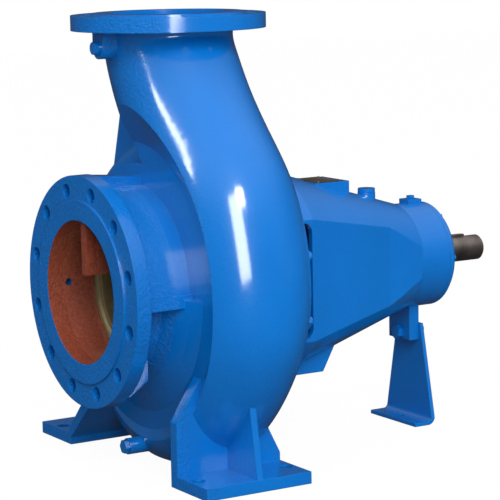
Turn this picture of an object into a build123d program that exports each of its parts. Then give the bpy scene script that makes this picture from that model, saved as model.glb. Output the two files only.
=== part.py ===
from build123d import *
import math
import os

os.makedirs("parts", exist_ok=True)

# Driving sizes in millimetres
axis_height = 315.0
discharge_height = 475.0
discharge_x = 18.0
suction_face = -170.0
shaft_r = 24.0
shaft_end_x = 688.0

suction_bore_r = 125.0
suction_flange_r = 202.5
suction_flange_t = 30.0
suction_raised_r = 160.0
suction_pcd_r = 177.5
suction_hole_r = 13.0
discharge_bore_r = 100.0
discharge_flange_r = 170.0
discharge_flange_t = 29.0
discharge_raised_r = 133.0
discharge_pcd_r = 147.5
discharge_hole_r = 11.0
flange_holes = 12
raised_t = 3.0

casing_half_w = 71.0
disc_r = 215.0
wall = 13.0
nozzle_r = 180.5
nozzle_low_r = 150.0
opening_r = 203.0
stack_r = 235.0
casing_face_x = 107.0
gasket_t = 1.0
cover_flange_t = 18.0
bracket_flange_t = 22.0
stud_circle_r = 219.0
stud_count = 12
stud_r = 8.0
stud_depth = 26.0

foot_length = 205.0
foot_inner_y = 187.0
foot_outer_y = 306.0
foot_t = 21.0
foot_hole_dx = 170.0
foot_hole_dy = 500.0
foot_hole_r = 12.0

impeller_r = 200.0
impeller_half_w = 26.0
shroud_t = 6.0
ring_r = 112.0
ring_gap = 0.4
ring_seat_r = 127.0
sleeve_r = 30.0
seat_r = 22.5
fit_gap = 0.02

bearing_r = 60.0
bearing_bore_r = 27.5
bearing_w = 29.0
bearing_1_x = 348.0
bearing_2_x = 518.0
ball_r = 10.5
ball_circle_r = (bearing_r + bearing_bore_r) / 2
ball_count = 9
ball_gap = 0.03

housing_r = 98.0
housing_end_x = 552.0
cone_end_x = 488.0
cone_end_r = 101.0
cone_slope = 0.30
bracket_wall = 12.0
end_cover_t = 14.0

leg_x = 524.5
sheet_t = 7.0
bolt_z = 170.0
pad_z = 472.0
filler_z = 441.0
box_r = 46.0
gland_stud_y = 76.0
hub_end_x = 48.0
key_start_x = 575.0
key_end_x = 655.0
key_w = 14.0
key_h = 9.5
key_depth = 5.5
pump_screw_r = 71.0
drive_screw_r = 82.0

shaft_axis = Axis((0, 0, axis_height), (1, 0, 0))
suction_back_x = suction_face + suction_flange_t
wall_x = discharge_x - casing_half_w
top_z = axis_height + discharge_height
under_z = top_z - discharge_flange_t
cover_x = casing_face_x + gasket_t
cover_face_x = cover_x + cover_flange_t
bracket_face_x = cover_face_x + bracket_flange_t


def turned(points, mode=Mode.ADD):
    """Revolves a closed outline of (x, radius) points about the shaft axis."""
    with BuildSketch(Plane.XZ) as outline:
        with Locations((0, axis_height)):
            Polygon(*points, align=None)
    revolve(outline.sketch, axis=shaft_axis, revolution_arc=360, mode=mode)


def half_turned(points, upper, mode=Mode.ADD):
    """Revolves an outline of (x, radius) points through the upper or lower half turn."""
    side = 1 if upper else -1
    with BuildSketch(Plane.XY.offset(axis_height)) as outline:
        Polygon(*[(x, side * r) for x, r in points], align=None)
    revolve(outline.sketch, axis=shaft_axis, revolution_arc=180, mode=mode)


def slab(plane, low, high, points, mode=Mode.ADD):
    """Extrudes a closed outline drawn on a plane, from one offset to another."""
    with BuildSketch(plane.offset(low)) as outline:
        Polygon(*points, align=None)
    extrude(outline.sketch, amount=high - low, mode=mode)


def rod(plane, low, high, at, radius, mode=Mode.ADD):
    """A round bar along the normal of a plane, from one offset to another."""
    with BuildSketch(plane.offset(low)) as outline:
        with Locations(at):
            Circle(radius)
    extrude(outline.sketch, amount=high - low, mode=mode)


def hex_bar(plane, low, high, at, across, turn=0, mode=Mode.ADD):
    """A hexagonal bar along the normal of a plane."""
    with BuildSketch(plane.offset(low)) as outline:
        with Locations(at):
            RegularPolygon(across / 2, 6, major_radius=False, rotation=turn)
    extrude(outline.sketch, amount=high - low, mode=mode)


def ring_points(radius, count, first, centre=(0, 0)):
    """Points spread evenly on a circle, the first one at a given angle."""
    angles = [math.radians(first + 360 * i / count) for i in range(count)]
    return [(centre[0] + radius * math.cos(a), centre[1] + radius * math.sin(a)) for a in angles]


def save(part, name):
    """Writes one named sub-part."""
    part.part.label = name
    export_step(part.part, f"parts/{name}.step")


# Spiral and swan neck: round sections on one centre line
scroll_r0 = 248.0
scroll_r180 = 324.0
scroll_r270 = 342.0
section_r0 = 20.0
section_r270 = 115.0
neck_top_r = discharge_bore_r + wall
neck_start_bulge = (-70.0, 141.0)
neck_end_pull = 158.0
scroll_first = 10
scroll_step = 26


def scroll_section(angle):
    """Centre and radius of the spiral's section, angle in degrees from the top."""
    t = angle / 90
    a = scroll_r0
    b = (9 * (scroll_r180 - a) - 4 * (scroll_r270 - a)) / 6
    c = (scroll_r180 - a - 2 * b) / 4
    outer = a + b * t + c * t * t
    radius = section_r0 + (section_r270 - section_r0) * angle / 270
    turn = math.radians(angle)
    reach = outer - radius
    centre = (reach * math.sin(turn), axis_height + reach * math.cos(turn))
    return centre, (math.cos(turn), -math.sin(turn)), radius


def neck_section(t):
    """Centre, direction and radius along the neck, t from 0 to 1."""
    start, _, r_start = scroll_section(270)
    p = [
        start,
        (start[0] + neck_start_bulge[0], start[1] + neck_start_bulge[1]),
        (0.0, under_z - neck_end_pull),
        (0.0, under_z),
    ]
    u = 1 - t
    k = (u ** 3, 3 * u * u * t, 3 * u * t * t, t ** 3)
    centre = tuple(sum(w * q[i] for w, q in zip(k, p)) for i in (0, 1))
    d = (3 * u * u, 6 * u * t, 3 * t * t)
    way = [sum(d[j] * (p[j + 1][i] - p[j][i]) for j in (0, 1, 2)) for i in (0, 1)]
    size = math.hypot(*way)
    return centre, (way[0] / size, way[1] / size), r_start + (neck_top_r - r_start) * t


def tube(inset):
    """Lofts the spiral and the neck, every section smaller by the inset."""
    stations = [scroll_section(a) for a in range(scroll_first, 262, scroll_step)]
    stations += [neck_section(t) for t in (0.05, 0.3, 0.5, 0.7, 0.86, 1.0)]
    faces = []
    for (y, z), (dy, dz), radius in stations:
        plane = Plane(origin=(discharge_x, y, z), x_dir=(1, 0, 0), z_dir=(0, dy, dz))
        with BuildSketch(plane) as section:
            Circle(max(radius - inset, 6.0))
        faces.append(section.sketch.faces()[0])
    loft(sections=faces)


pocket_r = 253.0
pocket_slope = 1.7
floor_gap = 8.0


def pockets(half, base):
    """Takes the sides of the spiral back to flat walls near the shaft."""
    for side in (-1, 1):
        near = discharge_x + side * half
        far = near + side * 90
        turned([(near, 0), (near, base), (far, base + 90 * pocket_slope), (far, 0)], Mode.SUBTRACT)


# Fluid passage, taken out of the casing further down
with BuildPart() as passage:
    tube(wall)
    pockets(casing_half_w - wall - 1, pocket_r + wall)
    slab(Plane.XY, -100, floor_gap + wall, [(-200, -400), (200, -400), (200, 400), (-200, 400)], Mode.SUBTRACT)

with BuildPart() as volute_casing:
    tube(0)
    pockets(casing_half_w, pocket_r)
    slab(Plane.XY, -100, floor_gap, [(-200, -400), (200, -400), (200, 400), (-200, 400)], Mode.SUBTRACT)
    # Disc around the impeller and the flange that carries the cover
    turned([(wall_x, 0), (wall_x, disc_r), (wall_x + 2 * casing_half_w, disc_r), (wall_x + 2 * casing_half_w, 0)])
    turned([(60, 0), (60, stack_r), (casing_face_x, stack_r), (casing_face_x, 0)])
    # Suction nozzle: wide upper half, slimmer lower half that spreads to the wall
    half_turned([(suction_back_x - 2, 0), (suction_back_x - 2, nozzle_r), (wall_x + 5, nozzle_r), (wall_x + 5, 0)], True)
    low = [(suction_back_x - 2, 0), (suction_back_x - 2, nozzle_low_r), (-115, nozzle_low_r)]
    low += [(-95, 156), (-78, 172), (-64, 196), (wall_x + 5, 232), (wall_x + 5, 0)]
    half_turned(low, False)
    turned([(suction_face + raised_t, 0), (suction_face + raised_t, suction_flange_r), (suction_back_x, suction_flange_r), (suction_back_x, 0)])
    turned([(suction_face, 0), (suction_face, suction_raised_r), (suction_back_x, suction_raised_r), (suction_back_x, 0)])
    # Ribs on the nozzle
    for y0, y1 in ((-188, -110), (110, 188)):
        slab(Plane.XY, 302, 324, [(suction_back_x - 1, y0), (suction_back_x - 1, y1), (wall_x + 2, y1), (wall_x + 2, y0)])
    slab(Plane.XZ, -17, 17, [(suction_back_x - 1, 440), (suction_back_x - 1, 516), (wall_x + 2, 509), (wall_x + 2, 440)])
    slab(Plane.XZ, 105, 117, [(suction_back_x - 1, 146), (-104, 172), (-104, 240), (suction_back_x - 1, 240)])
    # Discharge flange
    rod(Plane.XY, under_z, top_z - raised_t, (discharge_x, 0), discharge_flange_r)
    rod(Plane.XY, top_z - raised_t - 1, top_z, (discharge_x, 0), discharge_raised_r)
    # Web between spiral and neck on the far side
    slab(Plane.YZ, discharge_x - 10, discharge_x + 10, [(60, 440), (200, 490), (198, 508), (175, 583), (124, under_z), (0, under_z), (0, 560)])
    # Gauge boss below the discharge flange
    slab(Plane.XY, 733, under_z + 1, [(-121, -19), (-121, 19), (-70, 19), (-70, -19)])
    rod(Plane.YZ, -121, -70, (0, 733), 19)
    # Drain boss
    rod(Plane.YZ, -86, -20, (0, 31), 14.5)
    # Feet
    for side in (-1, 1):
        y0, y1 = sorted((side * foot_inner_y, side * foot_outer_y))
        half = foot_length / 2
        slab(Plane.XY, 0, foot_t, [(-half, y0), (half, y0), (half, y1), (-half, y1)])
    slab(Plane.XZ, 187, 209, [(-foot_length / 2, 0), (-foot_length / 2, 112), (-56, 184), (50, 184), (79, 80), (101, 36), (101, 0)])
    slab(Plane.YZ, -foot_length / 2, 82, [(203, 0), (203, 20), (130, 95), (110, 85), (187, 14), (187, 0)])
    slab(Plane.YZ, -4, 8, [(-306, 5), (-305, 20), (-283, 150), (-220, 200), (-187, 150), (-187, 5)])
    slab(Plane.YZ, -4, 8, [(306, 5), (305, 20), (262, 160), (200, 200), (187, 90), (187, 5)])
    # Passage, impeller chamber and bores
    add(passage.part, mode=Mode.SUBTRACT)
    turned([(wall_x + wall, 0), (wall_x + wall, opening_r), (casing_face_x + 5, opening_r), (casing_face_x + 5, 0)], Mode.SUBTRACT)
    slot = impeller_half_w + 6
    turned([(discharge_x - slot, 0), (discharge_x - slot, 228), (discharge_x + slot, 228), (discharge_x + slot, 0)], Mode.SUBTRACT)
    turned([(suction_face - 5, 0), (suction_face - 5, suction_bore_r), (-77, suction_bore_r), (-77, ring_seat_r), (-35, ring_seat_r), (-35, 0)], Mode.SUBTRACT)
    rod(Plane.XY, under_z, top_z + 5, (discharge_x, 0), discharge_bore_r, Mode.SUBTRACT)
    rod(Plane.YZ, -90, 0, (0, 31), 6.5, Mode.SUBTRACT)
    rod(Plane.YZ, -125, -70, (0, 733), 8, Mode.SUBTRACT)
    # Holes of flanges and feet
    with BuildSketch(Plane.YZ.offset(suction_face - 1)) as suction_holes:
        with Locations(*ring_points(suction_pcd_r, flange_holes, 15, (0, axis_height))):
            Circle(suction_hole_r)
    extrude(suction_holes.sketch, amount=suction_flange_t + 2, mode=Mode.SUBTRACT)
    with BuildSketch(Plane.XY.offset(under_z - 1)) as discharge_holes:
        with Locations(*ring_points(discharge_pcd_r, flange_holes, 15, (discharge_x, 0))):
            Circle(discharge_hole_r)
    extrude(discharge_holes.sketch, amount=discharge_flange_t + 2, mode=Mode.SUBTRACT)
    with BuildSketch(Plane.XY.offset(-1)) as foot_holes:
        with GridLocations(foot_hole_dx, foot_hole_dy, 2, 2):
            Circle(foot_hole_r)
    extrude(foot_holes.sketch, amount=foot_t + 2, mode=Mode.SUBTRACT)
    with BuildSketch(Plane.YZ.offset(casing_face_x - stud_depth)) as stud_holes:
        with Locations(*ring_points(stud_circle_r, stud_count, 15, (0, axis_height))):
            Circle(stud_r)
    extrude(stud_holes.sketch, amount=stud_depth + 1, mode=Mode.SUBTRACT)
    # Tapping through the far nozzle rib
    rod(Plane.XZ, -190, -110, (-128, 313), 6, Mode.SUBTRACT)
    # Baffle in the suction nozzle
    slab(Plane.XZ, -8.5, 8.5, [(-160, 344), (-78, 344), (-78, 441), (-160, 441)])

save(volute_casing, "volute_casing")

with BuildPart() as casing_wear_ring:
    bore = ring_r + ring_gap
    turned([(-77, bore + 5), (-77, ring_seat_r), (-42, ring_seat_r), (-42, bore), (-73, bore)])
save(casing_wear_ring, "casing_wear_ring")

# Impeller: two shrouds, hub and six backward vanes
front = discharge_x - impeller_half_w
back = discharge_x + impeller_half_w
with BuildPart() as vane_room:
    turned([(-50, 70), (-35, 100), (front + 2, 150), (front + 2, impeller_r - 0.5), (back - 2, impeller_r - 0.5), (back - 2, 110), (10, 60)])

with BuildPart() as impeller:
    for i in range(6):
        steps = [k / 9 for k in range(10)]
        mid = [(88 + 114 * k, 60 * i + 118 * math.log((88 + 114 * k) / 88)) for k in steps]
        side = []
        for shift in (-3.5, 3.5):
            run = [(r, a + math.degrees(shift / r)) for r, a in mid]
            side.append([(r * math.cos(math.radians(a)), axis_height + r * math.sin(math.radians(a))) for r, a in run])
        slab(Plane.YZ, -50, back, side[0] + side[1][::-1])
    add(vane_room.part, mode=Mode.INTERSECT)
    turned([(-72, 104), (-72, ring_r), (-34, ring_r), (-20, 130), (front, 160), (front, impeller_r), (front + shroud_t, impeller_r), (front + shroud_t, 155), (-17, 126), (-34, 104)])
    turned([(-12, 30), (4, 42), (24, 72), (back - shroud_t, 112), (back - shroud_t, impeller_r), (back, impeller_r), (back, 40), (hub_end_x, 38), (hub_end_x, seat_r + fit_gap), (-12, seat_r + fit_gap)])
    slab(Plane.XZ, -7.02, 7.02, [(-1, 330), (44, 330), (44, 342), (-1, 342)], Mode.SUBTRACT)
save(impeller, "impeller")

with BuildPart() as impeller_nut:
    turned([(-46, 0), (-46, 10), (-40, 22), (-30, 28), (-12, 28), (-12, 15.02), (-38, 15.02), (-38, 0)])
save(impeller_nut, "impeller_nut")

with BuildPart() as impeller_key:
    slab(Plane.XZ, -7, 7, [(0, 332), (43, 332), (43, 341), (0, 341)])
save(impeller_key, "impeller_key")

with BuildPart() as pump_shaft:
    profile = [(-37, 0), (-37, 15), (-12, 15), (-12, seat_r), (235, seat_r), (235, 25), (290, 25), (290, bearing_bore_r)]
    profile += [(bearing_1_x + bearing_w, bearing_bore_r), (bearing_1_x + bearing_w, 34), (bearing_2_x, 34)]
    profile += [(bearing_2_x, bearing_bore_r), (bearing_2_x + bearing_w, bearing_bore_r), (bearing_2_x + bearing_w, 27)]
    profile += [(557, 27), (557, shaft_r), (shaft_end_x - 3, shaft_r), (shaft_end_x, shaft_r - 3), (shaft_end_x, 0)]
    turned(profile)
    slab(Plane.XZ, -7, 7, [(0, 332), (43, 332), (43, 345), (0, 345)], Mode.SUBTRACT)
    with BuildSketch(Plane.XY.offset(axis_height + shaft_r - key_depth)) as keyway:
        with Locations(((key_start_x + key_end_x) / 2, 0)):
            SlotOverall(key_end_x - key_start_x, key_w)
    extrude(keyway.sketch, amount=20, mode=Mode.SUBTRACT)
    with BuildSketch(Plane.YZ.offset(shaft_end_x - 40)) as centre_hole:
        with Locations((0, axis_height)):
            Circle(6)
    extrude(centre_hole.sketch, amount=50, mode=Mode.SUBTRACT)
save(pump_shaft, "pump_shaft")

with BuildPart() as coupling_key:
    with BuildSketch(Plane.XY.offset(axis_height + shaft_r - key_depth)) as key_shape:
        with Locations(((key_start_x + key_end_x) / 2, 0)):
            SlotOverall(key_end_x - key_start_x, key_w)
    extrude(key_shape.sketch, amount=key_h)
save(coupling_key, "coupling_key")

with BuildPart() as shaft_sleeve:
    turned([(hub_end_x, seat_r + fit_gap), (hub_end_x, sleeve_r), (235, sleeve_r), (235, seat_r + fit_gap)])
save(shaft_sleeve, "shaft_sleeve")

with BuildPart() as deflector:
    turned([(258, 25.02), (258, 34), (266, 34), (266, 50), (270, 50), (274, 34), (274, 25.02)])
save(deflector, "deflector")

# Cover with the stuffing box
with BuildPart() as casing_cover:
    outline_points = [(50, sleeve_r + 0.8), (50, opening_r - 0.2), (cover_x, opening_r - 0.2), (cover_x, stack_r), (cover_face_x, stack_r)]
    outline_points += [(cover_face_x, 186), (66, 186), (66, 64), (188, 64), (188, 92), (205, 92), (205, box_r), (62, box_r), (62, sleeve_r + 0.8)]
    turned(outline_points)
    with BuildSketch(Plane.YZ.offset(cover_x - 1)) as cover_holes:
        with Locations(*ring_points(stud_circle_r, stud_count, 15, (0, axis_height))):
            Circle(stud_r + 1)
    extrude(cover_holes.sketch, amount=cover_flange_t + 2, mode=Mode.SUBTRACT)
    for y in (-gland_stud_y, gland_stud_y):
        rod(Plane.YZ, 189, 206, (y, axis_height), 6, Mode.SUBTRACT)
save(casing_cover, "casing_cover")

with BuildPart() as casing_gasket:
    turned([(casing_face_x, opening_r + 0.2), (casing_face_x, 210.5), (cover_x, 210.5), (cover_x, opening_r + 0.2)])
save(casing_gasket, "casing_gasket")

with BuildPart() as packing_rings:
    for x in (62, 78, 114, 130, 146):
        turned([(x + 0.05, sleeve_r + 0.05), (x + 0.05, box_r), (x + 15.95, box_r), (x + 15.95, sleeve_r + 0.05)])
save(packing_rings, "packing_rings")

with BuildPart() as lantern_ring:
    turned([(94, sleeve_r + 0.5), (94, box_r - 0.05), (99, box_r - 0.05), (99, 42), (109, 42), (109, box_r - 0.05), (114, box_r - 0.05), (114, sleeve_r + 0.5)])
save(lantern_ring, "lantern_ring")

with BuildPart() as gland_follower:
    turned([(162, sleeve_r + 0.7), (162, box_r - 0.1), (212, box_r - 0.1), (212, 92), (224, 92), (224, sleeve_r + 0.7)])
    for y in (-gland_stud_y, gland_stud_y):
        rod(Plane.YZ, 211, 225, (y, axis_height), 6.5, Mode.SUBTRACT)
save(gland_follower, "gland_follower")

with BuildPart() as gland_studs:
    for y in (-gland_stud_y, gland_stud_y):
        rod(Plane.YZ, 189, 245, (y, axis_height), 6)
save(gland_studs, "gland_studs")

with BuildPart() as gland_nuts:
    for y in (-gland_stud_y, gland_stud_y):
        hex_bar(Plane.YZ, 224, 234, (y, axis_height), 18)
        rod(Plane.YZ, 223, 235, (y, axis_height), 6.02, Mode.SUBTRACT)
save(gland_nuts, "gland_nuts")

with BuildPart() as casing_studs:
    with BuildSketch(Plane.YZ.offset(casing_face_x - stud_depth)) as stud_shape:
        with Locations(*ring_points(stud_circle_r, stud_count, 15, (0, axis_height))):
            Circle(stud_r)
    extrude(stud_shape.sketch, amount=stud_depth + 60)
save(casing_studs, "casing_studs")

with BuildPart() as casing_nuts:
    with BuildSketch(Plane.YZ.offset(bracket_face_x)) as nut_shape:
        with Locations(*ring_points(stud_circle_r, stud_count, 15, (0, axis_height))):
            RegularPolygon(12, 6, major_radius=False)
            Circle(stud_r + fit_gap, mode=Mode.SUBTRACT)
    extrude(nut_shape.sketch, amount=13)
save(casing_nuts, "casing_nuts")


def cone_r(x):
    """Outer radius of the bracket's cone."""
    return cone_end_r + cone_slope * (cone_end_x - x)


wide_r = cone_r(218)
flat_line = [(120, 146), (218, 146), (413, 100), (458, 100), (cone_end_x + 2, 97)]


def between_flats(inset):
    """Outline, seen from above, between the bracket's two flattened sides."""
    upper = [(x, y - inset) for x, y in flat_line]
    return upper + [(x, -y) for x, y in upper[::-1]]


with BuildPart() as bracket_room:
    turned([(118, 0), (118, wide_r - bracket_wall), (218, wide_r - bracket_wall), (316, cone_r(316) - bracket_wall), (316, 0)])
    chamber = [(342, 82), (342, cone_r(342) - bracket_wall), (470, cone_r(470) - bracket_wall), (508, 86), (508, 0), (386, 0), (386, 82)]
    turned(chamber)
    with BuildSketch(Plane.XY.offset(0)) as inner_flats:
        flat_points = [(x, y - bracket_wall) for x, y in flat_line[:-1]] + [(600, 88)]
        Polygon(*(flat_points + [(x, -y) for x, y in flat_points[::-1]]), align=None)
    extrude(inner_flats.sketch, amount=700, mode=Mode.INTERSECT)

with BuildPart() as bearing_bracket:
    turned([(cover_face_x + 2, 0), (cover_face_x + 2, wide_r), (218, wide_r), (cone_end_x, cone_end_r), (cone_end_x, 0)])
    with BuildSketch(Plane.XY) as outer_flats:
        Polygon(*between_flats(0), align=None)
    extrude(outer_flats.sketch, amount=700, mode=Mode.INTERSECT)
    turned([(cover_face_x, 0), (cover_face_x, stack_r), (bracket_face_x, stack_r), (bracket_face_x, 0)])
    turned([(cone_end_x - 30, 0), (cone_end_x - 30, housing_r - 6), (cone_end_x, housing_r), (housing_end_x, housing_r), (housing_end_x, 0)])
    # Pad, filler boss and pad on the housing
    slab(Plane.XY, 400, pad_z, [(289, -44), (363, -44), (363, 44), (289, 44)])
    slab(Plane.XY, pad_z, pad_z + 30, [(270, -44), (363, -44), (363, 44), (270, 44)], Mode.SUBTRACT)
    rod(Plane.XY, 400, filler_z, (431, 0), 16.5)
    slab(Plane.XY, 400, 421, [(516, -15), (546, -15), (546, 15), (516, 15)])
    # Drip box with its drain, the lug for the support foot and the oil drain boss
    slab(Plane.XZ, -80, 80, [(140, 134), (277, 134), (302, 179), (320, 240), (140, 240)])
    rod(Plane.XY, 122, 140, (251, 0), 13)
    slab(Plane.XZ, -33, 33, [(503, 157), (leg_x, 157), (leg_x, 250), (503, 250)])
    rod(Plane.XZ, -112, -60, (440, 250), 15)
    # Hollow inside
    add(bracket_room.part, mode=Mode.SUBTRACT)
    slab(Plane.XZ, -70, 70, [(150, 144), (272, 144), (292, 182), (300, 240), (150, 240)], Mode.SUBTRACT)
    rod(Plane.YZ, 300, 400, (0, axis_height), bearing_r, Mode.SUBTRACT)
    rod(Plane.YZ, 500, 560, (0, axis_height), bearing_r, Mode.SUBTRACT)
    with BuildSketch(Plane.XZ.offset(-200)) as window:
        with Locations((188.5, axis_height)):
            RectangleRounded(53, 206, 18)
    extrude(window.sketch, amount=400, mode=Mode.SUBTRACT)
    rod(Plane.XY, 400, 500, (431, 0), 10, Mode.SUBTRACT)
    rod(Plane.XY, 400, 430, (531, 0), 5, Mode.SUBTRACT)
    rod(Plane.XY, 120, 150, (251, 0), 6, Mode.SUBTRACT)
    rod(Plane.YZ, 500, 530, (0, bolt_z), 9, Mode.SUBTRACT)
    rod(Plane.XZ, -115, -60, (440, 250), 8, Mode.SUBTRACT)
    with BuildSketch(Plane.YZ.offset(cover_face_x - 1)) as bracket_holes:
        with Locations(*ring_points(stud_circle_r, stud_count, 15, (0, axis_height))):
            Circle(stud_r + 1)
    extrude(bracket_holes.sketch, amount=bracket_flange_t + 2, mode=Mode.SUBTRACT)
    for x, radius, depth in ((316, pump_screw_r, 18), (housing_end_x - 20, drive_screw_r, 21)):
        with BuildSketch(Plane.YZ.offset(x)) as screw_holes:
            with Locations(*ring_points(radius, 6, 0, (0, axis_height))):
                Circle(4)
        extrude(screw_holes.sketch, amount=depth, mode=Mode.SUBTRACT)
save(bearing_bracket, "bearing_bracket")

with BuildPart() as pump_end_bearing_cover:
    turned([(302, 36), (302, 80), (316, 80), (316, bearing_r - 0.05), (bearing_1_x, bearing_r - 0.05), (bearing_1_x, 52), (318, 52), (318, 29), (314, 29), (314, 36)])
    with BuildSketch(Plane.YZ.offset(300)) as pump_cover_holes:
        with Locations(*ring_points(pump_screw_r, 6, 0, (0, axis_height))):
            Circle(4.5)
    extrude(pump_cover_holes.sketch, amount=20, mode=Mode.SUBTRACT)
save(pump_end_bearing_cover, "pump_end_bearing_cover")

with BuildPart() as drive_end_bearing_cover:
    turned([(547, 52), (547, bearing_r - 0.05), (housing_end_x, bearing_r - 0.05), (housing_end_x, housing_r), (560, housing_r), (566, housing_r - 6), (566, 44), (572, 44), (572, 36), (560, 36), (560, 42), (552, 52)])
    with BuildSketch(Plane.YZ.offset(540)) as drive_cover_holes:
        with Locations(*ring_points(drive_screw_r, 6, 0, (0, axis_height))):
            Circle(4.5)
    extrude(drive_cover_holes.sketch, amount=40, mode=Mode.SUBTRACT)
save(drive_end_bearing_cover, "drive_end_bearing_cover")

with BuildPart() as bearing_cover_screws:
    for x0, x1, head, radius in ((302, 330, 296.5, pump_screw_r), (536, 566, 566, drive_screw_r)):
        for y, z in ring_points(radius, 6, 0, (0, axis_height)):
            rod(Plane.YZ, x0, x1, (y, z), 4)
            hex_bar(Plane.YZ, head, head + 5.5, (y, z), 13)
save(bearing_cover_screws, "bearing_cover_screws")

with BuildPart() as oil_seals:
    turned([(302, bearing_bore_r + 0.05), (302, 36), (314, 36), (314, 33), (305, 33), (305, bearing_bore_r + 0.05)])
    turned([(561, shaft_r + 0.05), (561, 36), (572, 36), (572, 33), (564, 33), (564, shaft_r + 0.05)])
save(oil_seals, "oil_seals")

with BuildPart() as bearing_lock_nut:
    turned([(547, 27.02), (547, 37), (556, 37), (556, 27.02)])
save(bearing_lock_nut, "bearing_lock_nut")

for label, x0 in (("pump_end", bearing_1_x), ("drive_end", bearing_2_x)):
    x1 = x0 + bearing_w
    middle = (x0 + x1) / 2
    with BuildPart() as outer_ring:
        turned([(x0, 50.5), (x0, bearing_r), (x1, bearing_r), (x1, 50.5)])
        with BuildSketch(Plane.XZ) as groove:
            with Locations((middle, axis_height + ball_circle_r)):
                Circle(ball_r + ball_gap)
        revolve(groove.sketch, axis=shaft_axis, mode=Mode.SUBTRACT)
    save(outer_ring, f"{label}_bearing_outer_ring")
    with BuildPart() as inner_ring:
        turned([(x0, bearing_bore_r), (x0, 37), (x1, 37), (x1, bearing_bore_r)])
        with BuildSketch(Plane.XZ) as inner_groove:
            with Locations((middle, axis_height + ball_circle_r)):
                Circle(ball_r + ball_gap)
        revolve(inner_groove.sketch, axis=shaft_axis, mode=Mode.SUBTRACT)
    save(inner_ring, f"{label}_bearing_inner_ring")
    places = [(middle, y, z) for y, z in ring_points(ball_circle_r, ball_count, 90, (0, axis_height))]
    with BuildPart() as balls:
        with Locations(*places):
            Sphere(ball_r)
    save(balls, f"{label}_bearing_balls")
    with BuildPart() as cage:
        turned([(middle - 12, 41.5), (middle - 12, 46), (middle + 12, 46), (middle + 12, 41.5)])
        with Locations(*places):
            Sphere(ball_r + 0.1, mode=Mode.SUBTRACT)
    save(cage, f"{label}_bearing_cage")

# Support foot and its bolt
with BuildPart() as support_foot:
    with BuildSketch(Plane.XZ.offset(-73)) as angle_shape:
        Polygon((486, 0), (leg_x + sheet_t, 0), (leg_x + sheet_t, 188), (leg_x, 188), (leg_x, sheet_t), (486, sheet_t), align=None)
        fillet(angle_shape.vertices().group_by(Axis.Y)[0].sort_by(Axis.X)[-1], 15)
        fillet(angle_shape.vertices().sort_by_distance((leg_x, sheet_t))[0], 8)
    extrude(angle_shape.sketch, amount=146)
    with BuildSketch(Plane.YZ.offset(400)) as leg_shape:
        Polygon((-73, 0), (73, 0), (73, 12), (37, 188), (-37, 188), (-73, 12), align=None)
    extrude(leg_shape.sketch, amount=200, mode=Mode.INTERSECT)
    rod(Plane.YZ, 500, 560, (0, bolt_z), 9, Mode.SUBTRACT)
    rod(Plane.XY, -5, 20, (503, 0), 9, Mode.SUBTRACT)
save(support_foot, "support_foot")

with BuildPart() as support_foot_bolt:
    hex_bar(Plane.YZ, 493, 503, (0, bolt_z), 24, 30)
    rod(Plane.YZ, 503, 555, (0, bolt_z), 8)
save(support_foot_bolt, "support_foot_bolt")

with BuildPart() as support_foot_washer:
    rod(Plane.YZ, leg_x + sheet_t, leg_x + sheet_t + 3, (0, bolt_z), 15)
    rod(Plane.YZ, leg_x + sheet_t - 1, leg_x + sheet_t + 4, (0, bolt_z), 8.5, Mode.SUBTRACT)
save(support_foot_washer, "support_foot_washer")

with BuildPart() as support_foot_nut:
    hex_bar(Plane.YZ, leg_x + sheet_t + 3, leg_x + sheet_t + 16, (0, bolt_z), 24)
    rod(Plane.YZ, leg_x, leg_x + 40, (0, bolt_z), 8.02, Mode.SUBTRACT)
save(support_foot_nut, "support_foot_nut")

# Plugs
with BuildPart() as discharge_gauge_plug:
    rod(Plane.YZ, -121, -98, (0, 733), 8)
    rod(Plane.YZ, -131, -121, (0, 733), 11)
save(discharge_gauge_plug, "discharge_gauge_plug")

with BuildPart() as suction_gauge_plug:
    rod(Plane.XZ, -188, -160, (-128, 313), 6)
    hex_bar(Plane.XZ, -196, -188, (-128, 313), 17)
save(suction_gauge_plug, "suction_gauge_plug")

with BuildPart() as casing_drain_plug:
    rod(Plane.YZ, -86, -60, (0, 31), 6.5)
    hex_bar(Plane.YZ, -94, -86, (0, 31), 22)
save(casing_drain_plug, "casing_drain_plug")

with BuildPart() as oil_filler_plug:
    rod(Plane.XY, 425, filler_z, (431, 0), 10)
    rod(Plane.XY, filler_z, filler_z + 8, (431, 0), 16)
save(oil_filler_plug, "oil_filler_plug")

with BuildPart() as oil_drain_plug:
    rod(Plane.XZ, -112, -95, (440, 250), 8)
    hex_bar(Plane.XZ, -120, -112, (440, 250), 19)
save(oil_drain_plug, "oil_drain_plug")

with BuildPart() as housing_top_plug:
    rod(Plane.XY, 408, 421, (531, 0), 5)
    hex_bar(Plane.XY, 421, 427, (531, 0), 14)
save(housing_top_plug, "housing_top_plug")
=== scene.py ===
# %% [markdown]
# # A blue end-suction pump, dressed around its CAD frame
#
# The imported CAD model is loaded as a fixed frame. Its castings already have the right form,
# so they keep their mesh and get a paint. Small things that the frame leaves out, such as the
# bare plate on the bearing bracket, are modelled here and ride on the body that carries them.

# %% Load the frame
import math

import bmesh
import bpy
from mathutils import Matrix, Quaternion, Vector


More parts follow.
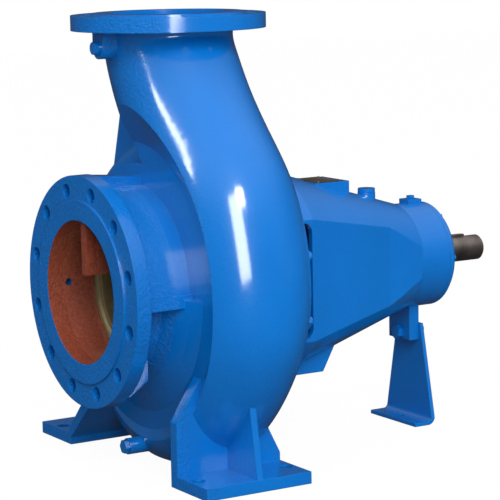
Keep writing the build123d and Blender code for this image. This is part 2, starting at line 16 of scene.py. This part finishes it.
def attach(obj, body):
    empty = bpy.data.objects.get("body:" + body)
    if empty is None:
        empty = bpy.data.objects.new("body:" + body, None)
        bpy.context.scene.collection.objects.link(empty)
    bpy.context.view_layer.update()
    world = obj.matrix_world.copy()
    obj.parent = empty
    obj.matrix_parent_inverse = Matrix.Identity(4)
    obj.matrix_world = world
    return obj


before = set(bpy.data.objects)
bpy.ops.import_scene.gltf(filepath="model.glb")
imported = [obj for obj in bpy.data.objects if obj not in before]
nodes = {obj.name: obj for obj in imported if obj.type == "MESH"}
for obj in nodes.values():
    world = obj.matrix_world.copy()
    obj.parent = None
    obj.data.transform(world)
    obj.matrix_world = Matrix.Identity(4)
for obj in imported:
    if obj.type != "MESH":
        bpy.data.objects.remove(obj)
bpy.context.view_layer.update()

# %% [markdown]
# ## Places that are used again and again
#
# All of them are in metres, in the frame of the CAD model: the floor is at zero height, the
# shaft runs along X and the discharge points up.

# %% Named places
shaft_height = 0.315
suction_face = -0.170
flange_back = -0.139
nozzle_root = -0.078
bore_radius = 0.125
nozzle_radius = 0.19
pad_height = 0.472
white_light = (1, 1, 1, 1)

# %% [markdown]
# ## Camera
#
# The photograph was taken from the near suction side, a little above the flange, with a long
# lens. The place and the turn of the camera come from fitting the two round flanges.

# %% Camera
camera_data = bpy.data.cameras.new("camera")
camera_data.sensor_width = 36
camera_data.lens = 155.77
camera_data.clip_end = 50
camera = bpy.data.objects.new("camera", camera_data)
camera.location = (-1.8313, -3.2966, 0.9342)
camera.rotation_euler = (math.radians(81.486), math.radians(1.095), math.radians(-31.495))
bpy.context.scene.collection.objects.link(camera)
bpy.context.scene.camera = camera

# %% [markdown]
# ## A small kit for node materials
#
# Every finish below is a chain of a few nodes. The helpers keep the code short: they add a
# node and set its values, start a material with its shader, and make the nodes that come back
# most often. The first ones take a world as well, because it has a node tree of its own.

# %% Helpers for materials


def add_node(owner, kind, **values):
    """Adds a shader node; names that match an input set the input, others set the node itself."""
    node = owner.node_tree.nodes.new(kind)
    for name, value in values.items():
        if name in node.inputs:
            node.inputs[name].default_value = value
        else:
            setattr(node, name, value)
    return node


def new_finish(name, roughness, metallic=0.0):
    """A new material, its shader and the link function."""
    material = bpy.data.materials.new(name)
    material.use_nodes = True
    shader = material.node_tree.nodes["Principled BSDF"]
    shader.inputs["Roughness"].default_value = roughness
    shader.inputs["Metallic"].default_value = metallic
    return material, shader, material.node_tree.links.new


def map_range(owner, source, start, end, low, high, **values):
    """Maps the stretch from start to end of a value to the stretch from low to high."""
    node = add_node(owner, "ShaderNodeMapRange", **values)
    owner.node_tree.links.new(source, node.inputs["Value"])
    for socket, value in zip(("From Min", "From Max", "To Min", "To Max"), (start, end, low, high)):
        node.inputs[socket].default_value = value
    return node.outputs["Result"]


def maths(owner, operation, first, second):
    """One step of arithmetic; the second input is an output of a node or a plain number."""
    node = add_node(owner, "ShaderNodeMath", operation=operation)
    owner.node_tree.links.new(first, node.inputs[0])
    if isinstance(second, (int, float)):
        node.inputs[1].default_value = second
    else:
        owner.node_tree.links.new(second, node.inputs[1])
    return node.outputs[0]


def mix_shaders(owner, factor, at_zero, at_one):
    """Mixes two shaders by a factor."""
    node = add_node(owner, "ShaderNodeMixShader")
    for index, source in enumerate((factor, at_zero, at_one)):
        owner.node_tree.links.new(source, node.inputs[index])
    return node.outputs["Shader"]


def tint_by(material, source, dark, light, dark_at=0.35, light_at=0.65):
    """A colour ramp from dark to light, driven by a value; gives its colour."""
    node = add_node(material, "ShaderNodeValToRGB")
    for element, position, colour in zip(node.color_ramp.elements, (dark_at, light_at), (dark, light)):
        element.position = position
        element.color = (*colour, 1)
    material.node_tree.links.new(source, node.inputs["Fac"])
    return node.outputs["Color"]


def noise(material, place, scale, detail, **values):
    """A noise texture at a place; gives its value."""
    node = add_node(material, "ShaderNodeTexNoise", Scale=scale, Detail=detail, **values)
    material.node_tree.links.new(place, node.inputs["Vector"])
    return node.outputs["Fac"]


def bump(material, height, strength, distance, normal=None):
    """Bends the surface by a height; a normal that is given is the one to start from."""
    node = add_node(material, "ShaderNodeBump", Strength=strength, Distance=distance)
    material.node_tree.links.new(height, node.inputs["Height"])
    if normal:
        material.node_tree.links.new(normal, node.inputs["Normal"])
    return node


# %% [markdown]
# ## Blue enamel over cast iron
#
# The real castings are sand cast and then sprayed with a thick, glossy blue. Two things make
# that look: the colour is nearly even, and the gloss is wavy, because the paint follows the
# rough skin of the casting. So the colour gets a faint cloud, and a bump of two sizes bends
# the reflections. The suction passage isn't sprayed, so there the red-oxide primer shows.

# %% Blue enamel
enamel_blue = (0.0, 0.165, 0.58)
enamel_shade = (0.0, 0.15, 0.53)
primer_light = (0.33, 0.075, 0.04)
primer_dark = (0.17, 0.035, 0.018)


def blue_enamel(name, bump_strength, inside_red=False):
    """Glossy enamel; with inside_red the suction passage shows its red-oxide primer."""
    material, shader, link = new_finish(name, 0.34)
    for socket, value in (("Specular IOR Level", 0.15), ("Coat Weight", 1.0), ("Coat IOR", 1.85),
                          ("Coat Roughness", 0.13)):
        shader.inputs[socket].default_value = value
    place = add_node(material, "ShaderNodeTexCoord").outputs["Object"]
    tint = tint_by(material, noise(material, place, 6.0, 3.0), enamel_shade, enamel_blue, 0.3, 0.7)
    skin = noise(material, place, 190.0, 3.0, Roughness=0.65)
    swell = noise(material, place, 14.0, 2.0)
    rounded = add_node(material, "ShaderNodeBevel", Radius=0.003, samples=6)
    wavy = bump(material, swell, bump_strength, 0.005, rounded.outputs["Normal"]).outputs["Normal"]
    grain = bump(material, skin, bump_strength, 0.003, wavy)
    link(grain.outputs["Normal"], shader.inputs["Normal"])
    if not inside_red:
        link(tint, shader.inputs["Base Color"])
        return material
    # The place along the shaft's axis and the distance from it tell the parts of the casting apart
    axis_at_zero = add_node(material, "ShaderNodeMapping")
    axis_at_zero.inputs["Location"].default_value = (0, 0, -shaft_height)
    link(place, axis_at_zero.inputs["Vector"])
    parts = add_node(material, "ShaderNodeSeparateXYZ")
    link(axis_at_zero.outputs["Vector"], parts.inputs["Vector"])
    along = parts.outputs["X"]
    across = add_node(material, "ShaderNodeCombineXYZ")
    link(parts.outputs["Y"], across.inputs["Y"])
    link(parts.outputs["Z"], across.inputs["Z"])
    length = add_node(material, "ShaderNodeVectorMath", operation="LENGTH")
    link(across.outputs["Vector"], length.inputs[0])
    radius = length.outputs["Value"]
    # The nozzle's cylinder is the roughest casting, so its grain is raised towards the suction side
    raised = map_range(material, along, nozzle_root + 0.004, nozzle_root - 0.002, bump_strength, 1.0)
    link(raised, grain.inputs["Strength"])
    # It widens a little towards the spiral, which tilts its gloss to the suction side
    taper = map_range(material, along, flange_back, nozzle_root, 0.0, nozzle_root - flange_back)
    rise = maths(material, "MULTIPLY", taper, maths(material, "LESS_THAN", radius, nozzle_radius))
    draft = bump(material, rise, 1.0, 0.4, wavy)
    link(draft.outputs["Normal"], grain.inputs["Normal"])
    # The primer shows inside the bore, behind the flange's face
    within = maths(material, "LESS_THAN", radius, bore_radius + 0.0006)
    behind = maths(material, "GREATER_THAN", along, suction_face + 0.0005)
    rust = tint_by(material, skin, primer_dark, primer_light, 0.25, 0.75)
    mixed = add_node(material, "ShaderNodeMix", data_type="RGBA")
    link(maths(material, "MULTIPLY", within, behind), mixed.inputs["Factor"])
    # Inputs 6 and 7 and output 2 are the colour ones of this node
    link(tint, mixed.inputs[6])
    link(rust, mixed.inputs[7])
    link(mixed.outputs[2], shader.inputs["Base Color"])
    return material


casing_enamel = blue_enamel("casing enamel", 0.25, inside_red=True)
bracket_enamel = blue_enamel("bracket enamel", 0.2)
sheet_enamel = blue_enamel("sheet enamel", 0.08)

# %% [markdown]
# ## Metals, rubber and packing
#
# Bare metal is a dark mirror with fine turning lines. The lines are a wave texture with its
# bands across the shaft, so they follow the cut of the lathe.

# %% Bare metals


def turned_metal(name, light, dark, roughness, metallic=1.0):
    """Turned metal with rings along the shaft; a lower metallic value is a dull, oxidised skin."""
    material, shader, link = new_finish(name, roughness, metallic)
    place = add_node(material, "ShaderNodeTexCoord").outputs["Object"]
    rings = add_node(material, "ShaderNodeTexWave", Scale=160.0, Distortion=1.5, bands_direction="X")
    link(place, rings.inputs["Vector"])
    link(tint_by(material, noise(material, place, 24.0, 4.0), dark, light), shader.inputs["Base Color"])
    link(bump(material, rings.outputs["Fac"], 0.12, 0.0004).outputs["Normal"], shader.inputs["Normal"])
    return material


shaft_steel = turned_metal("shaft steel", (0.62, 0.55, 0.52), (0.34, 0.28, 0.26), 0.38)
plain_steel = turned_metal("plain steel", (0.5, 0.5, 0.5), (0.36, 0.36, 0.36), 0.35)
ring_bronze = turned_metal("ring bronze", (0.4, 0.35, 0.19), (0.28, 0.24, 0.12), 0.5, 0.55)
cage_brass = turned_metal("cage brass", (0.72, 0.52, 0.2), (0.55, 0.38, 0.14), 0.3)
grey_iron = turned_metal("grey iron", (0.28, 0.28, 0.28), (0.18, 0.18, 0.18), 0.5)

# %% Rubber and packing


def matt_stuff(name, light, dark, scale):
    """A matt material with a speckle of its own scale."""
    material, shader, link = new_finish(name, 0.75)
    place = add_node(material, "ShaderNodeTexCoord").outputs["Object"]
    speckle = noise(material, place, scale, 5.0)
    link(tint_by(material, speckle, dark, light), shader.inputs["Base Color"])
    link(bump(material, speckle, 0.3, 0.0008).outputs["Normal"], shader.inputs["Normal"])
    return material


black_rubber = matt_stuff("black rubber", (0.03, 0.03, 0.03), (0.015, 0.015, 0.015), 120)
braided_packing = matt_stuff("braided packing", (0.12, 0.11, 0.1), (0.05, 0.05, 0.045), 400)

# %% [markdown]
# ## Which node gets which finish
#
# A node's material slots are filled by name. Whatever is painted on the real pump is painted
# here too, nuts and plugs included, because such a pump is sprayed after it is put together.

# %% Paint the nodes
finishes = {
    "volute_casing": casing_enamel,
    "bearing_bracket": bracket_enamel,
    "casing_cover": bracket_enamel,
    "drive_end_bearing_cover": bracket_enamel,
    "pump_end_bearing_cover": bracket_enamel,
    "support_foot": sheet_enamel,
    "casing_wear_ring": ring_bronze,
    "impeller": ring_bronze,
    "lantern_ring": ring_bronze,
    "gland_follower": grey_iron,
    "packing_rings": braided_packing,
    "casing_gasket": braided_packing,
    "deflector": black_rubber,
    "oil_seals": black_rubber,
    "pump_end_bearing_cage": cage_brass,
    "drive_end_bearing_cage": cage_brass,
    "pump_shaft": shaft_steel,
    "coupling_key": shaft_steel,
}
painted_small = ("plug", "support_foot_", "casing_studs", "casing_nuts", "bearing_cover_screws")
for name, node in nodes.items():
    finish = finishes.get(name, plain_steel)
    if name not in finishes and any(word in name for word in painted_small):
        finish = bracket_enamel
    node.data.materials.clear()
    node.data.materials.append(finish)

# %% [markdown]
# ## Bare plate on the bracket's pad
#
# The pad on top of the bearing bracket carries a plain metal plate. It starts as a cube, is
# scaled to its length, width and thickness and gets rounded edges.

# %% Bare plate


def finish_piece(name, shape, body, material, smooth=False):
    """Turns a bmesh into a piece that rides on a body."""
    mesh = bpy.data.meshes.new(name)
    bmesh.ops.recalc_face_normals(shape, faces=shape.faces)
    shape.to_mesh(mesh)
    shape.free()
    piece = bpy.data.objects.new(name, mesh)
    bpy.context.scene.collection.objects.link(piece)
    mesh.materials.append(material)
    for polygon in mesh.polygons:
        polygon.use_smooth = smooth
    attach(piece, body)
    return piece


def round_edges(shape, width):
    """Rounds all the edges of a bmesh."""
    bmesh.ops.bevel(shape, geom=shape.edges[:], offset=width, affect="EDGES", segments=2,
                    profile=0.5, material=-1)


plate_metal = turned_metal("plate metal", (0.36, 0.31, 0.26), (0.2, 0.16, 0.13), 0.4)
plate_x = 0.325
plate_length, plate_width, plate_thickness = 0.056, 0.08, 0.0012
plate = bmesh.new()
bmesh.ops.create_cube(plate, size=1.0)
bmesh.ops.scale(plate, vec=(plate_length, plate_width, plate_thickness), verts=plate.verts)
bmesh.ops.translate(plate, vec=(plate_x, 0, pad_height + plate_thickness / 2), verts=plate.verts)
round_edges(plate, 0.0004)
bare_plate = finish_piece("bare_plate", plate, "pump", plate_metal)

# Four small round heads hold it at the corners
from_edge = 0.005
head_radius = 0.0024
heads = bmesh.new()
for x in (plate_x - plate_length / 2 + from_edge, plate_x + plate_length / 2 - from_edge):
    for y in (-plate_width / 2 + from_edge, plate_width / 2 - from_edge):
        made = bmesh.ops.create_uvsphere(heads, u_segments=12, v_segments=6, radius=head_radius)
        bmesh.ops.scale(heads, vec=(1, 1, 0.5), verts=made["verts"])
        bmesh.ops.translate(heads, vec=(x, y, pad_height + 0.0014), verts=made["verts"])
plate_screws = finish_piece("plate_screws", heads, "pump", plain_steel, smooth=True)
print("bare plate on the bracket's pad")

# %% [markdown]
# ## Closed wall where the spiral starts
#
# On the real casting the wall is closed at the throat, where the spiral starts beside the
# disc. The frame has a narrow slit there on both sides, so two curved bands of the same paint
# close it. Each one is a block swept round the shaft's axis.

# %% Throat bands


def swept_band(shape, x_low, x_high, r_low, r_high, first, last):
    """Adds a block swept round the shaft's axis, angles in degrees from the top towards +Y."""
    steps = 24
    corners = ((x_low, r_low), (x_high, r_low), (x_high, r_high), (x_low, r_high))
    rings = []
    for k in range(steps + 1):
        angle = math.radians(first + (last - first) * k / steps)
        side, up = math.sin(angle), math.cos(angle)
        rings.append([shape.verts.new((x, r * side, shaft_height + r * up)) for x, r in corners])
    for one, other in zip(rings, rings[1:]):
        for k in range(4):
            shape.faces.new((one[k], one[(k + 1) % 4], other[(k + 1) % 4], other[k]))
    shape.faces.new(rings[0])
    shape.faces.new(rings[-1][::-1])


slit_sides = ((-0.0175, -0.0095), (0.0455, 0.0535))
slit_inner, slit_outer = 0.213, 0.2335
slit_first, slit_last = -3, 60
bands = bmesh.new()
for x_low, x_high in slit_sides:
    swept_band(bands, x_low, x_high, slit_inner, slit_outer, slit_first, slit_last)
round_edges(bands, 0.0012)
throat_bands = finish_piece("throat_bands", bands, "pump", bracket_enamel, smooth=True)

# %% [markdown]
# ## Floor and light
#
# The floor and the background are white, as in a catalogue picture. The floor only glows for
# the camera, so it throws little light on the pump, and it keeps a faint shadow. What the
# enamel mirrors is a dim room with a few soft lamps: that keeps the blue deep and gives the
# long highlights on the scroll, the nozzle and the neck.

# %% Floor
floor_shape = bmesh.new()
bmesh.ops.create_grid(floor_shape, x_segments=1, y_segments=1, size=12)
floor_mesh = bpy.data.meshes.new("floor")
floor_shape.to_mesh(floor_mesh)
floor_shape.free()
floor = bpy.data.objects.new("floor", floor_mesh)
bpy.context.scene.collection.objects.link(floor)
floor_finish, floor_shader, link = new_finish("pale floor", 0.9)
floor_shader.inputs["Base Color"].default_value = (0.25, 0.25, 0.25, 1)
floor_shader.inputs["Specular IOR Level"].default_value = 0.0
glow = add_node(floor_finish, "ShaderNodeEmission", Color=white_light, Strength=1.12)
# Mirrored in the enamel the floor is nearly black, which keeps the lower sides deep blue
dark = add_node(floor_finish, "ShaderNodeEmission", Strength=0.03)
seen = add_node(floor_finish, "ShaderNodeLightPath")
share = maths(floor_finish, "MULTIPLY", seen.outputs["Is Camera Ray"], 0.86)
blend = mix_shaders(floor_finish, share, floor_shader.outputs["BSDF"], glow.outputs["Emission"])
mirrored = mix_shaders(floor_finish, seen.outputs["Is Glossy Ray"], blend, dark.outputs["Emission"])
link(mirrored, floor_finish.node_tree.nodes["Material Output"].inputs["Surface"])
floor_mesh.materials.append(floor_finish)

# %% World
world = bpy.data.worlds.new("studio")
bpy.context.scene.world = world
world.use_nodes = True
world_output = world.node_tree.nodes["World Output"]
paths = add_node(world, "ShaderNodeLightPath")
sky_parts = add_node(world, "ShaderNodeSeparateXYZ")
sky_place = add_node(world, "ShaderNodeTexCoord")
world.node_tree.links.new(sky_place.outputs["Generated"], sky_parts.inputs["Vector"])


def sky(at_horizon, overhead):
    """An even grey light that grows softly from the horizon to overhead."""
    node = add_node(world, "ShaderNodeBackground", Color=white_light)
    strength = map_range(world, sky_parts.outputs["Z"], 0.1, 0.95, at_horizon, overhead,
                         interpolation_type="SMOOTHERSTEP")
    world.node_tree.links.new(strength, node.inputs["Strength"])
    return node.outputs["Background"]


even_light = sky(0.42, 1.1)
dim_room = sky(0.04, 0.36)
white = add_node(world, "ShaderNodeBackground", Color=white_light).outputs["Background"]
reflected = mix_shaders(world, paths.outputs["Is Glossy Ray"], even_light, dim_room)
choose = mix_shaders(world, paths.outputs["Is Camera Ray"], reflected, white)
world.node_tree.links.new(choose, world_output.inputs["Surface"])

# %% Lamps


def soft_lamp(name, place, target, wide, high, power, roll=0.0):
    """An area lamp, as wide and high as given, that looks at a point and leans by roll degrees."""
    data = bpy.data.lights.new(name, "AREA")
    data.shape = "RECTANGLE"
    data.size = wide
    data.size_y = high
    data.energy = power
    lamp = bpy.data.objects.new(name, data)
    lamp.location = place
    facing = (Vector(target) - Vector(place)).to_track_quat("-Z", "Y")
    lean = Quaternion((0, 0, 1), math.radians(roll))
    lamp.rotation_euler = (facing @ lean).to_euler()
    bpy.context.scene.collection.objects.link(lamp)
    return lamp


soft_lamp("strip beside the camera", (-1.58, -3.9, 1.98), (-0.03, -0.3, 0.44), 1.35, 3.1, 112, roll=12)
soft_lamp("lamp for the nozzle", (-0.75, -3.4, 3.1), (-0.08, -0.16, 0.39), 0.9, 1.0, 46)
soft_lamp("lamp for the neck", (-2.9, 0.3, 3.0), (-0.05, -0.2, 0.55), 0.35, 1.6, 20)
fill = soft_lamp("fill lamp", (3.2, -2.8, 1.5), (0.3, -0.1, 0.3), 3.0, 2.4, 26)
fill.visible_glossy = False

# %% Finish
view = bpy.context.scene.view_settings
view.view_transform = "Standard"
